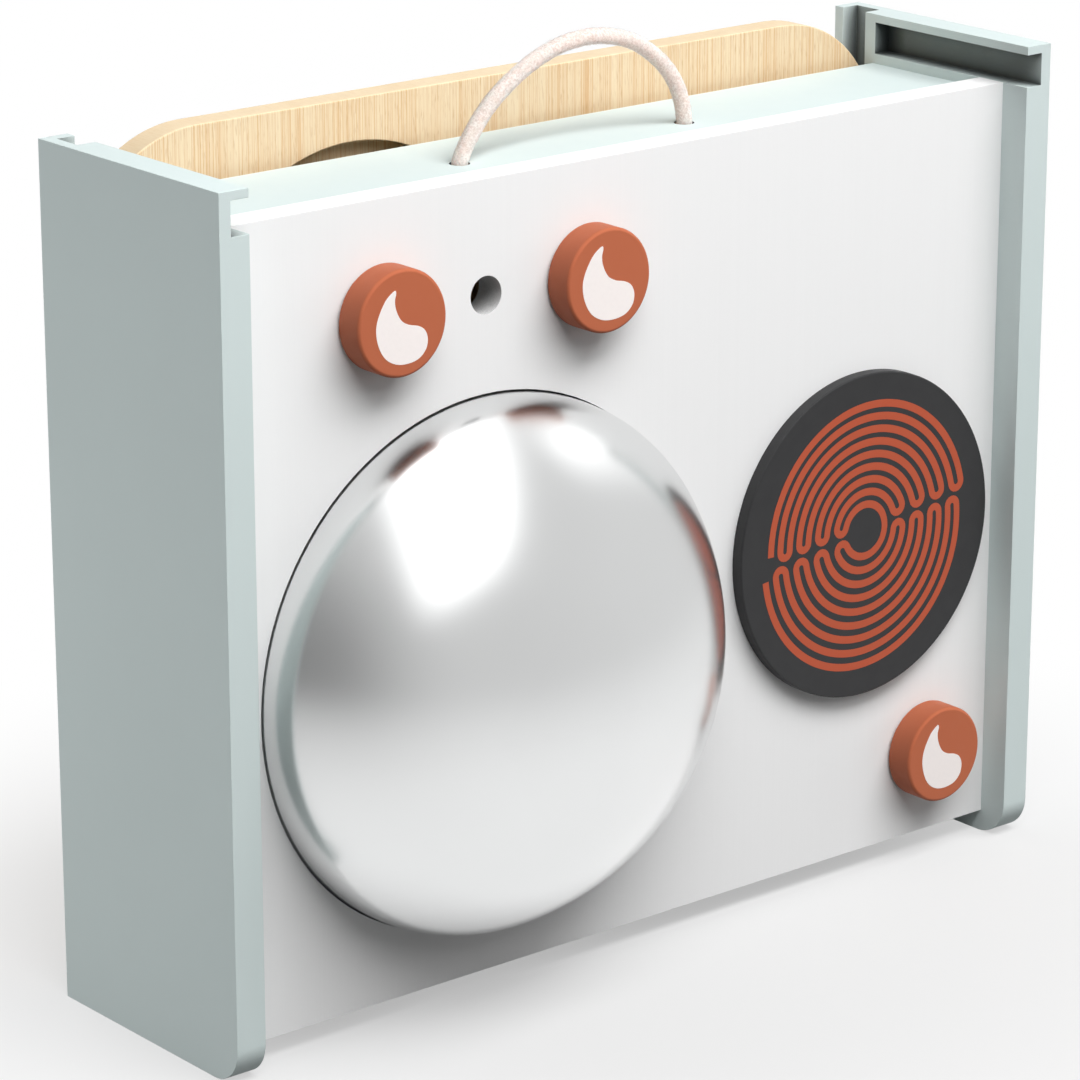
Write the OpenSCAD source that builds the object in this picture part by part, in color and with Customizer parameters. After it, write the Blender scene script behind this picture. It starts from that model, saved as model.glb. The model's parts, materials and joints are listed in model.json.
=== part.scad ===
// Tabletop play kitchen in its carrying position, stood upright on its two side panels.
// Millimetres. +Z is up and the front, with sink and hob, faces -Y.
// The origin is the middle of the bounding box, on the floor.

/* [Boards] */
// Thickness of the two side panels
side_t = 12; // [10:0.5:18]
// Thickness of the front panel, the worktop in use
front_t = 12.5; // [9:0.5:18]
// Thickness of the top panel
top_t = 12; // [9:0.5:18]
// Thickness of the bottom panel
bottom_t = 12; // [9:0.5:18]

/* [Case] */
// Clear depth between the front panel and the back board's grooves
inner_d = 62.6; // [50:0.2:110]
// How far the front panel lies behind the side panels' front edges
panel_recess = 12.4; // [6:0.2:24]
// Height of the front and bottom panels above the floor
floor_gap = 8.5; // [4:0.5:20]
// Radius of the side panels' front bottom corners
toe_r = 14; // [4:1:30]
// How far the top panel lies below the front panel's top edge
top_step = 3.8; // [0.5:0.1:8]
// Gap between the top panel's rear edge and the grooves
top_rear_gap = 4.6; // [1:0.2:12]

/* [Back board] */
// Thickness of the back board
board_t = 11.4; // [8:0.2:18]
// Radius of the board's two top corners
board_corner_r = 49; // [10:1:80]
// Depth of the grooves and slots cut into the side panels
groove_depth = 7.3; // [4:0.1:9]
// Clearance on each face of the board in its grooves
groove_clear = 0.55; // [0.3:0.05:1.2]
// Clearance at each end of the board, to the groove floors
board_end_clear = 0.4; // [0.3:0.05:1.5]
// Clearance under the board at rest
board_seat = 0.2; // [0.1:0.05:0.6]
// Wall left behind the grooves
rear_wall = 4.4; // [3:0.2:10]
// Wall left between the end of a slot and the groove behind it
slot_web = 5.7; // [3:0.1:15]
// Play of the board in the slots
slot_clear = 0.7; // [0.3:0.05:1.5]
// Wall left above the slots
slot_lip = 3.2; // [2:0.1:8]
// Diameter of the round recess in the board
recess_d = 138; // [60:1:160]
// Depth of the round recess
recess_depth = 6; // [2:0.5:7]
// Height of the board's top edge above the recess's centre
recess_drop = 84.7; // [82:0.1:110]

/* [Sink] */
// Outside diameter of the bowl's straight wall
bowl_d = 195.6; // [160:0.2:230]
// Height of the dome in front of the front panel
bowl_h = 71; // [50:1:90]
// Length of straight wall in front of the front panel
bowl_straight = 3; // [0.5:0.5:10]
// Radius of the bend between the wall and the dome
bowl_shoulder = 27; // [15:1:40]
// Thickness of the bowl's sheet steel
bowl_sheet = 0.8; // [0.5:0.1:1.5]
// Width of the flat rim behind the panel
bowl_rim_w = 5; // [3.5:0.1:12]
// Radius of the rolled edge of the rim
bowl_roll_r = 1.6; // [1:0.1:1.7]
// Gap between the bowl's wall and the cut-out
bowl_gap = 0.6; // [0.4:0.1:2]
// Gap between the bowl's rim and the back of the front panel
bowl_seat = 0.2; // [0.1:0.05:0.6]
// Gap between the bowl's rim and the bottom panel
bowl_floor_gap = 1.2; // [0.6:0.1:20]
// Gap between the bowl's rim and the left side panel
bowl_side_gap = 5.2; // [1:0.1:40]

/* [Taps] */
// Diameter of the hole that a tap plugs into
tap_hole_d = 13.6; // [8:0.2:20]
// Height of the tap row above the top of the sink cut-out
tap_rise = 35; // [28:0.5:60]
// Height of the front panel's top edge above the tap row
tap_head = 40.8; // [36:0.2:70]
// Distance between the two tap knobs
tap_pitch = 90.6; // [70:0.2:130]

/* [Hob] */
// Diameter of the hob plate
hob_d = 125.5; // [100:0.5:150]
// Thickness of the hob plate
hob_t = 5; // [4.5:0.1:9]
// Rounding of the hob plate's front edge
hob_edge_r = 0.8; // [0.3:0.1:2]
// Gap between the bowl's rim and the hob plate
hob_gap = 12.2; // [2:0.1:40]
// Gap between the hob plate and the right side panel
hob_side_gap = 7.4; // [1:0.1:40]
// Height of the hob's centre above the sink's centre
hob_rise = 12.2; // [0:0.1:40]
// Gap between the bottom of the hob plate and the top of its knob
hob_knob_gap = 12.4; // [4:0.1:16]
// Sideways distance from the hob's centre to its knob
hob_knob_side = 37.1; // [0:0.1:44]
// Distance of the hob's screws from its edge
hob_screw_inset = 24; // [10:1:40]

/* [Knobs] */
// Diameter of the knobs
knob_d = 37.6; // [28:0.2:44]
// Thickness of the knobs
knob_t = 11.4; // [9:0.2:18]
// Rounding of the knobs' front edge
knob_edge_r = 1.2; // [0.4:0.1:3]
// Thickness of the felt washer behind a knob
felt_t = 0.6; // [0.4:0.1:2]
// Diameter of the felt washer
felt_d = 26; // [18:0.5:27]
// Diameter of the spindles
spindle_d = 10; // [8:0.5:12]
// Running clearance of a spindle in the front panel
spindle_clear = 0.06; // [0.02:0.01:0.1]
// Depth of a spindle in its knob
spindle_seat = 6; // [4:0.5:7]
// End play of a knob
knob_play = 0.2; // [0.1:0.05:0.5]
// Diameter of the washer behind the front panel
washer_d = 18; // [15:0.5:22]
// Thickness of that washer
washer_t = 1.2; // [0.8:0.1:2]

/* [Fasteners] */
// Diameter of the screws
screw_d = 3.5; // [3:0.1:4]
// Diameter of the screw heads
screw_head_d = 7; // [5.5:0.1:9]
// Height of the screw heads
screw_head_t = 2.4; // [1.5:0.1:3]
// Length of a knob's screw in its spindle
knob_screw_len = 12; // [6:0.5:14]
// Length of a hob screw in the hob plate
hob_screw_bite = 3.4; // [2:0.1:3.6]
// Diameter of the dowels
dowel_d = 6; // [5:0.5:7]
// Depth of a dowel in a face
dowel_in_face = 8; // [5:0.5:8.5]
// Depth of a dowel in an edge
dowel_in_edge = 16; // [10:0.5:24]
// Distance of a row's end dowels from the panels' ends
dowel_inset = 28; // [26:1:50]
// Radial clearance of glued and screwed pieces in their holes
glue_gap = 0.05; // [0.02:0.01:0.1]

/* [Rope] */
// Diameter of the rope
rope_d = 6; // [4:0.5:6.5]
// Diameter of the rope holes
rope_hole_d = 7.4; // [7:0.1:10]
// Distance of the rope holes behind the front panel
rope_setback = 24.3; // [18:0.1:35]
// Radius of a knot's round edge
knot_r = 4; // [3:0.5:6]
// Gap between a knot and the top panel
knot_gap = 0.3; // [0.1:0.1:1]
// Length of the rope's tail under a knot
tail_len = 9; // [4:1:20]

/* [Hidden] */
$fn = 96;
// Facet counts of large round shapes and of small roundings
large_fn = 180;
small_fn = 32;

// How far a cut reaches past the face it opens
cut = 1;

// Paint, wood and metal colours
mint = "#c8d8d6";
white = "#f3f3f3";
terracotta = "#b86848";
charcoal = "#3e3e3e";
maple = "#f3d9b0";
steel = "#c9ccce";
zinc = "#a8abad";
felt_grey = "#8d8d8a";
cotton = "#f3e4de";

// The bowl's radii: wall, cut-out and outer edge of the rim
bowl_r = bowl_d / 2;
cutout_r = bowl_r + bowl_gap;
rim_r = bowl_r + bowl_rim_w;

// Widths and the case's inner faces
inner_w = bowl_side_gap + 2 * rim_r + hob_gap + hob_d + hob_side_gap;
case_w = inner_w + 2 * side_t;
left_x = -inner_w / 2;
right_x = inner_w / 2;

// Depths: the side panels' front edge, the front panel, and the grooves behind
groove_w = board_t + 2 * groove_clear;
case_d = panel_recess + front_t + inner_d + groove_w + rear_wall;
bowl_reach = max(bowl_h - panel_recess, 0);
side_y = (bowl_reach - case_d) / 2;
panel_y = side_y + panel_recess;
back_y = panel_y + front_t;
groove_y = back_y + inner_d;
top_d = inner_d - top_rear_gap;
bottom_d = inner_d + groove_w;
slot_len = groove_y - slot_web - side_y;

// Places on the front panel, as [x, z]
bottom_top_z = floor_gap + bottom_t;
sink = [left_x + bowl_side_gap + rim_r, bottom_top_z + bowl_floor_gap + rim_r];
hob = [right_x - hob_side_gap - hob_d / 2, sink[1] + hob_rise];
tap_z = sink[1] + cutout_r + tap_rise;
left_tap = [sink[0] - tap_pitch / 2, tap_z];
right_tap = [sink[0] + tap_pitch / 2, tap_z];
hob_tap = [hob[0] + hob_knob_side, hob[1] - hob_d / 2 - hob_knob_gap - knob_d / 2];

// Heights
front_top_z = tap_z + tap_head;
slot_h = board_t + slot_clear;
case_h = front_top_z + slot_h + slot_lip;
front_h = front_top_z - floor_gap;
top_z = front_top_z - top_step;
board_z = bottom_top_z + board_seat;
board_w = inner_w + 2 * (groove_depth - board_end_clear);
board_h = case_h - board_z;

// The dome's large arc meets the shoulder's arc without a corner
shoulder_x = bowl_r - bowl_shoulder;
shoulder_drop = bowl_straight - bowl_h;
dome_r = (pow(bowl_shoulder, 2) - pow(shoulder_x, 2) - pow(shoulder_drop, 2))
    / (2 * (shoulder_drop + bowl_shoulder));
dome_z = bowl_h - dome_r;
rim_front = -front_t - bowl_seat;
bowl_back = rim_front - bowl_sheet;

// Dowel places: [y, z] on the side panels' inner faces, then x along the top and bottom panels' front edges
top_mid_z = top_z - top_t / 2;
bottom_mid_z = floor_gap + bottom_t / 2;
side_dowels = [
    for (share = [1 / 4, 3 / 4]) [back_y + top_d * share, top_mid_z],
    for (share = [1 / 4, 3 / 4]) [back_y + bottom_d * share, bottom_mid_z],
    for (z = [bottom_top_z + dowel_inset, front_top_z - dowel_inset]) [panel_y + front_t / 2, z]
];
edge_dowels_x = [left_x + dowel_inset, 0, right_x - dowel_inset];

// Diameter of the screw holes, and the hob screws' places as [x, z] from the hob's centre
screw_hole_d = screw_d + 2 * glue_gap;
hob_screw_r = hob_d / 2 - hob_screw_inset;
hob_screw_places = [for (turn = [90, 210, 330]) hob_screw_r * [cos(turn), sin(turn)]];

// Spindles end level with the washers' front faces
spindle_back = -front_t - knob_play;

// The rope handle's arch as [x, height over the top panel], chosen by hand; its ends run down to the knots
rope_arch = [
    [-52, -6], [-52, -0.5], [-50, 4.5], [-46.8, 9.5], [-43, 14.3], [-38.5, 19], [-33.3, 23.2], [-27.3, 27.2],
    [-20.6, 30.9], [-13.2, 34], [-5, 36.3], [3.8, 37.3], [12.6, 36.9], [21, 35.2], [28.8, 32.2], [35.6, 28],
    [41.2, 23.3], [45.8, 18], [49, 12.4], [51.2, 6.3], [52, 0.5], [52, -6]
];
rope_x = rope_arch[len(rope_arch) - 1][0];
rope_y = back_y + rope_setback;
knot_top_z = top_z - top_t - knot_gap;
rope_path = [
    [-rope_x, rope_y, knot_top_z],
    for (p = rope_arch) [p[0], rope_y, top_z + p[1]],
    [rope_x, rope_y, knot_top_z]
];
rope_sides = 10;

// Puts a piece on the front panel's face at [x, z], its own +Z pointing out of the panel
module on_front(place) {
    translate([place[0], panel_y, place[1]]) rotate([90, 0, 0]) children();
}

// A round disc, its front edge rounded
module rounded_disc(d, t, edge_r) {
    rotate_extrude() union() {
        square([d / 2 - edge_r, t]);
        square([d / 2, t - edge_r]);
        translate([d / 2 - edge_r, t - edge_r]) intersection() {
            circle(edge_r, $fn = small_fn);
            square(edge_r);
        }
    }
}

// A hole for a dowel: along +X from its mouth, or along +Y
module dowel_hole_x(depth) {
    translate([-cut, 0, 0]) rotate([0, 90, 0]) cylinder(h = depth + cut, d = dowel_d + 2 * glue_gap);
}
module dowel_hole_y(depth) {
    translate([0, -cut, 0]) rotate([-90, 0, 0]) cylinder(h = depth + cut, d = dowel_d + 2 * glue_gap);
}

// A hole right through the front panel at [x, z]
module panel_hole(place, d) {
    on_front(place) translate([0, 0, -front_t - cut]) cylinder(h = front_t + 2 * cut, d = d);
}

// Side view of a side panel: depth along X, height along Y
module side_outline() {
    translate([toe_r, 0]) square([case_d - toe_r, case_h]);
    translate([0, toe_r]) square([case_d, case_h - toe_r]);
    translate([toe_r, toe_r]) circle(toe_r);
}

// The left side panel, in place
module side_panel() {
    groove_x = left_x - groove_depth;
    difference() {
        translate([left_x - side_t, side_y, 0]) rotate([90, 0, 90]) linear_extrude(side_t) side_outline();
        // Groove for the back board, from the bottom panel up
        translate([groove_x, groove_y, bottom_top_z])
            cube([groove_depth + cut, groove_w, case_h - bottom_top_z + cut]);
        // Slot that holds the board when the case lies on its back
        translate([groove_x, side_y - cut, front_top_z]) cube([groove_depth + cut, slot_len + cut, slot_h]);
        for (p = side_dowels) translate([left_x, p[0], p[1]]) mirror([1, 0, 0]) dowel_hole_x(dowel_in_face);
    }
}

module left_side_panel() {
    color(mint) side_panel();
}

module right_side_panel() {
    color(mint) mirror([1, 0, 0]) side_panel();
}

module front_panel() {
    color(white) difference() {
        translate([left_x, panel_y, floor_gap]) cube([inner_w, front_t, front_h]);
        panel_hole(sink, 2 * cutout_r, $fn = large_fn);
        panel_hole([sink[0], tap_z], tap_hole_d);
        for (place = [left_tap, right_tap, hob_tap]) panel_hole(place, spindle_d + 2 * spindle_clear);
        for (p = hob_screw_places) panel_hole(hob + p, screw_hole_d);
        for (p = side_dowels) if (p[0] < back_y) {
            translate([left_x, p[0], p[1]]) dowel_hole_x(dowel_in_edge);
            translate([right_x, p[0], p[1]]) mirror([1, 0, 0]) dowel_hole_x(dowel_in_edge);
        }
        for (x = edge_dowels_x, z = [top_mid_z, bottom_mid_z])
            translate([x, back_y, z]) mirror([0, 1, 0]) dowel_hole_y(dowel_in_face);
    }
}

// A board between the side panels, behind the front panel, with its dowel holes
module cross_board(depth, thick, z, mid_z) {
    difference() {
        translate([left_x, back_y, z]) cube([inner_w, depth, thick]);
        for (p = side_dowels) if (p[1] == mid_z) {
            translate([left_x, p[0], p[1]]) dowel_hole_x(dowel_in_edge);
            translate([right_x, p[0], p[1]]) mirror([1, 0, 0]) dowel_hole_x(dowel_in_edge);
        }
        for (x = edge_dowels_x) translate([x, back_y, mid_z]) dowel_hole_y(dowel_in_edge);
    }
}

module top_panel() {
    color(mint) difference() {
        cross_board(top_d, top_t, top_z - top_t, top_mid_z);
        for (x = [-rope_x, rope_x])
            translate([x, rope_y, top_z - top_t - cut]) cylinder(h = top_t + 2 * cut, d = rope_hole_d);
    }
}

module bottom_panel() {
    color(mint) cross_board(bottom_d, bottom_t, floor_gap, bottom_mid_z);
}

// All dowels are alike; each stops short of the ends of its two holes
module panel_dowels() {
    dowel_len = dowel_in_face + dowel_in_edge - 2 * glue_gap;
    color(maple) {
        for (p = side_dowels, side = [0, 1]) mirror([side, 0, 0])
            translate([left_x - dowel_in_face + glue_gap, p[0], p[1]])
                rotate([0, 90, 0]) cylinder(h = dowel_len, d = dowel_d);
        for (x = edge_dowels_x, z = [top_mid_z, bottom_mid_z])
            translate([x, back_y - dowel_in_face + glue_gap, z])
                rotate([-90, 0, 0]) cylinder(h = dowel_len, d = dowel_d);
    }
}

// Face of the back board, standing on its bottom edge
module board_outline() {
    translate([-board_w / 2, 0]) square([board_w, board_h - board_corner_r]);
    translate([board_corner_r - board_w / 2, 0]) square([board_w - 2 * board_corner_r, board_h]);
    for (side = [-1, 1])
        translate([side * (board_w / 2 - board_corner_r), board_h - board_corner_r]) circle(board_corner_r);
}

module back_board() {
    face_y = groove_y + groove_clear;
    color(maple) difference() {
        translate([0, face_y + board_t, board_z]) rotate([90, 0, 0])
            linear_extrude(board_t) board_outline();
        translate([sink[0], face_y + recess_depth, case_h - recess_drop]) rotate([90, 0, 0])
            cylinder(h = recess_depth + cut, d = recess_d, $fn = large_fn);
    }
}

// Half section of all that lies inside the bowl's outer surface moved in by inset, above the height back
module bowl_inside(inset, back) {
    turn = atan2(bowl_straight - dome_z, shoulder_x);
    far = 2 * dome_r;
    intersection() {
        translate([0, back]) square([bowl_r - inset, bowl_h - back]);
        union() {
            translate([0, back]) square([bowl_r - inset, bowl_straight - back]);
            translate([shoulder_x, bowl_straight]) circle(bowl_shoulder - inset);
            intersection() {
                translate([0, dome_z]) circle(dome_r - inset, $fn = large_fn);
                translate([0, dome_z]) polygon([[0, 0], far * [cos(turn), sin(turn)], [0, far]]);
            }
        }
    }
}

module sink_bowl() {
    color(steel) on_front(sink) rotate_extrude($fn = large_fn) difference() {
        union() {
            bowl_inside(0, bowl_back);
            translate([0, bowl_back]) square([rim_r - bowl_roll_r, bowl_sheet]);
            translate([rim_r - bowl_roll_r, rim_front - bowl_roll_r]) circle(bowl_roll_r, $fn = small_fn);
        }
        bowl_inside(bowl_sheet, bowl_back - cut);
    }
}

module hob_plate() {
    color(charcoal) on_front(hob) difference() {
        rounded_disc(hob_d, hob_t, hob_edge_r);
        for (p = hob_screw_places)
            translate([p[0], p[1], -cut]) cylinder(h = hob_screw_bite + glue_gap + cut, d = screw_hole_d);
    }
}

// A pan-head screw: its head's seat at the origin, its shank along +Z
module pan_screw(shank) {
    cylinder(h = shank, d = screw_d);
    rotate([180, 0, 0]) rounded_disc(screw_head_d, screw_head_t, screw_head_t / 3);
}

module hob_screws() {
    color(zinc) for (p = hob_screw_places)
        on_front(hob + p) translate([0, 0, -front_t]) pan_screw(front_t + hob_screw_bite);
}

// The five pieces of a knob, all with +Z out of the panel and the panel's face at zero
module knob() {
    color(terracotta) translate([0, 0, felt_t + knob_play]) difference() {
        rounded_disc(knob_d, knob_t - knob_play, knob_edge_r);
        translate([0, 0, -cut]) cylinder(h = spindle_seat + cut, d = spindle_d + 2 * glue_gap);
    }
}

module felt_washer() {
    color(felt_grey) translate([0, 0, knob_play]) difference() {
        cylinder(h = felt_t, d = felt_d);
        translate([0, 0, -cut]) cylinder(h = felt_t + 2 * cut, d = spindle_d + 2 * glue_gap);
    }
}

module spindle() {
    spindle_front = felt_t + knob_play + spindle_seat - glue_gap;
    color(maple) difference() {
        translate([0, 0, spindle_back]) cylinder(h = spindle_front - spindle_back, d = spindle_d);
        translate([0, 0, spindle_back - cut])
            cylinder(h = knob_screw_len + glue_gap + cut, d = screw_hole_d);
    }
}

module rear_washer() {
    color(zinc) translate([0, 0, spindle_back - washer_t]) difference() {
        cylinder(h = washer_t, d = washer_d);
        translate([0, 0, -cut]) cylinder(h = washer_t + 2 * cut, d = screw_hole_d);
    }
}

module knob_screw() {
    color(zinc) translate([0, 0, spindle_back - washer_t]) pan_screw(knob_screw_len + washer_t);
}

// A tube of triangles along a path in an upright plane
function heading(path, i) =
    let (step = path[min(i + 1, len(path) - 1)] - path[max(i - 1, 0)]) step / norm(step);
function ring(path, i, r, sides) =
    let (along = heading(path, i), across = [-along[2], 0, along[0]], turn = 360 / sides)
    [for (j = [0:sides - 1]) path[i] + r * (cos(turn * j) * across + sin(turn * j) * [0, 1, 0])];

module tube(path, r, sides) {
    rings = len(path);
    last = (rings - 1) * sides;
    points = [for (i = [0:rings - 1]) each ring(path, i, r, sides)];
    walls = [
        for (i = [0:rings - 2], j = [0:sides - 1])
            let (k = (j + 1) % sides, low = i * sides, high = low + sides)
            each [[low + j, low + k, high + k], [low + j, high + k, high + j]]
    ];
    ends = [for (j = [1:sides - 2]) each [[0, j + 1, j], [last, last + j, last + j + 1]]];
    polyhedron(points, concat(walls, ends));
}

module rope_handle() {
    color(cotton) tube(rope_path, rope_d / 2, rope_sides);
}

// A stopper knot as a round bun with the rope's tail under it
module rope_knots() {
    color(cotton) for (x = [-rope_x, rope_x]) translate([x, rope_y, knot_top_z - knot_r]) {
        rotate_extrude() {
            translate([0, -knot_r]) square([rope_d / 2, 2 * knot_r]);
            translate([rope_d / 2, 0]) intersection() {
                circle(knot_r, $fn = small_fn);
                translate([0, -knot_r]) square([knot_r, 2 * knot_r]);
            }
        }
        translate([0, 0, -knot_r - tail_len]) cylinder(h = tail_len + knot_r, d = rope_d);
    }
}

left_side_panel();
right_side_panel();
front_panel();
top_panel();
bottom_panel();
panel_dowels();
back_board();
sink_bowl();
hob_plate();
hob_screws();
rope_handle();
rope_knots();
on_front(left_tap) knob();  // left_tap_knob
on_front(left_tap) felt_washer();  // left_tap_felt
on_front(left_tap) spindle();  // left_tap_spindle
on_front(left_tap) rear_washer();  // left_tap_washer
on_front(left_tap) knob_screw();  // left_tap_screw
on_front(right_tap) knob();  // right_tap_knob
on_front(right_tap) felt_washer();  // right_tap_felt
on_front(right_tap) spindle();  // right_tap_spindle
on_front(right_tap) rear_washer();  // right_tap_washer
on_front(right_tap) knob_screw();  // right_tap_screw
on_front(hob_tap) knob();  // hob_knob
on_front(hob_tap) felt_washer();  // hob_knob_felt
on_front(hob_tap) spindle();  // hob_knob_spindle
on_front(hob_tap) rear_washer();  // hob_knob_washer
on_front(hob_tap) knob_screw();  // hob_knob_screw
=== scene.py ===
"""Looks of a tabletop play kitchen in its carrying position.

Finishes, printed marks, soft edges and the rope handle are made here, around the solids of the frame.
Everything is in metres, in the part's own frame: +Z is up, and the sink and the hob face -Y.
Sizes that only this file needs are written in millimetres and scaled by MM.
"""
import json
import math
import random

import bmesh
import bpy
from mathutils import Matrix, Vector, noise

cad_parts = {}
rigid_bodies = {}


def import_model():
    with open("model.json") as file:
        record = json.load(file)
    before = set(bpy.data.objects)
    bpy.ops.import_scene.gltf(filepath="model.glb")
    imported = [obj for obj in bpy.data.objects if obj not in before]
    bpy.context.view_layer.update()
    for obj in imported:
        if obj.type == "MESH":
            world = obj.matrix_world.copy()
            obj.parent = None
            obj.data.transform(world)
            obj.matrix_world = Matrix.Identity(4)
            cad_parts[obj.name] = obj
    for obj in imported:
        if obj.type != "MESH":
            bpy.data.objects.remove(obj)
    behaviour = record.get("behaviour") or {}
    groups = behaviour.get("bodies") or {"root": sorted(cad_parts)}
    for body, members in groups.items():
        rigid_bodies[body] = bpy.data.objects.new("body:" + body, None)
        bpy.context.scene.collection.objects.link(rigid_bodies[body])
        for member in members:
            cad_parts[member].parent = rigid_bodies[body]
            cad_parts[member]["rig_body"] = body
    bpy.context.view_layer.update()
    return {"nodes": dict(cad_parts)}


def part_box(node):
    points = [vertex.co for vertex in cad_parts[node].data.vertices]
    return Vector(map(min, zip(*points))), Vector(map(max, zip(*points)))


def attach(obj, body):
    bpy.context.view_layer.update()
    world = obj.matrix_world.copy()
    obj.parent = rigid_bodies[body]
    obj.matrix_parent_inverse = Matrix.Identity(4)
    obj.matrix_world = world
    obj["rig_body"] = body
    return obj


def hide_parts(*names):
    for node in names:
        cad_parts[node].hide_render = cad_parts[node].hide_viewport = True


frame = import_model()

MM = 0.001
SEED = 7


# Places read from the frame

def middle(node):
    """Centre of a CAD node's box."""
    low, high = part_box(node)
    return (low + high) / 2


PANEL_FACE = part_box("front_panel")[0].y
TOP_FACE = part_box("top_panel")[1].z
# Each knob's body and its node
KNOBS = {"left_tap": "left_tap_knob", "right_tap": "right_tap_knob", "hob_knob": "hob_knob"}


def half_width(node):
    """Radius of a CAD node that is round as seen from the front."""
    low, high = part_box(node)
    return (high.x - low.x) / 2


def reach(node):
    """How far a CAD node's front and its back stand out of the front panel's face."""
    low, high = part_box(node)
    return PANEL_FACE - low.y, PANEL_FACE - high.y


def on_panel(node):
    """Places a piece on the front panel's face at a node's middle, its own +Z pointing out of the panel."""
    centre = middle(node)
    return Matrix.Translation((centre.x, PANEL_FACE, centre.z)) @ Matrix.Rotation(math.radians(90), 4, "X")


# The camera, as the photograph was taken

# Place and reach in metres, angles in degrees, lens and sensor in millimetres, shift in picture widths
CAMERA_PLACE = (-1.0140, -1.1851, 0.6496)
CAMERA_DOWN = 17.552
CAMERA_TURN = -39.576
CAMERA_LENS = 151.27
CAMERA_SENSOR = 36
CAMERA_SHIFT = (-0.006, -0.008)
CAMERA_REACH = 50


def make_camera():
    data = bpy.data.cameras.new("camera")
    data.lens = CAMERA_LENS
    data.sensor_width = CAMERA_SENSOR
    data.shift_x, data.shift_y = CAMERA_SHIFT
    data.clip_end = CAMERA_REACH
    camera = bpy.data.objects.new("camera", data)
    camera.location = CAMERA_PLACE
    camera.rotation_euler = (math.radians(90 - CAMERA_DOWN), 0, math.radians(CAMERA_TURN))
    bpy.context.scene.collection.objects.link(camera)
    bpy.context.scene.camera = camera


# Mesh helpers

# A turned piece's points nearer to its axis than this lie on it
AXIS_NEAR = 1e-7
# How strongly large faces keep their own direction beside rounded edges
FLAT_WEIGHT = 90


def add_object(name, mesh, material, body=None, replaced=()):
    """Puts a mesh into the scene as a piece of the object."""
    piece = bpy.data.objects.new(name, mesh)
    mesh.materials.clear()
    mesh.materials.append(material)
    bpy.context.scene.collection.objects.link(piece)
    if body:
        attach(piece, body)
    if replaced:
        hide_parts(*replaced)
    return piece


def mesh_from(name, points, faces, smooth=True):
    """A mesh of points and faces, shaded smooth or flat."""
    mesh = bpy.data.meshes.new(name)
    mesh.from_pydata(points, [], faces)
    mesh.polygons.foreach_set("use_smooth", [smooth] * len(mesh.polygons))
    mesh.update()
    return mesh


def arc(centre, radius, first, last, steps):
    """Points of an arc from one angle to another, in degrees."""
    turns = [math.radians(first + (last - first) * i / steps) for i in range(steps + 1)]
    return [(centre[0] + radius * math.cos(t), centre[1] + radius * math.sin(t)) for t in turns]


def lathe(name, profile, segments, place):
    """A turned mesh: profile is (radius, height) along an outline that starts and ends on the axis."""
    points = []
    rings = []
    for radius, height in profile:
        count = 1 if radius < AXIS_NEAR else segments
        rings.append([len(points) + i for i in range(count)])
        for i in range(count):
            turn = 2 * math.pi * i / segments
            points.append(place @ Vector((radius * math.cos(turn), radius * math.sin(turn), height)))
    faces = []
    for low, high in zip(rings, rings[1:]):
        for i in range(segments):
            k = (i + 1) % segments
            corners = [low[i % len(low)], low[k % len(low)], high[k % len(high)], high[i % len(high)]]
            faces.append(list(dict.fromkeys(corners)))
    return mesh_from(name, points, [face[::-1] for face in faces])


def keep_edges_crisp(piece):
    """Large faces stay flat and only the rounded edges shade smoothly."""
    modifier = piece.modifiers.new("weighted normals", "WEIGHTED_NORMAL")
    modifier.keep_sharp = True
    modifier.weight = FLAT_WEIGHT


# Material helpers

def srgb(red, green, blue):
    """A colour given as the 0 to 255 numbers of a picture, as the linear values that shaders take."""
    def linear(value):
        value /= 255
        return value / 12.92 if value <= 0.04045 else ((value + 0.055) / 1.055) ** 2.4
    return (linear(red), linear(green), linear(blue), 1)


def toned(colour, share):
    """A colour with that share of its light, up to white."""
    return tuple(min(c * share, 1) for c in colour[:3]) + (1,)


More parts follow.
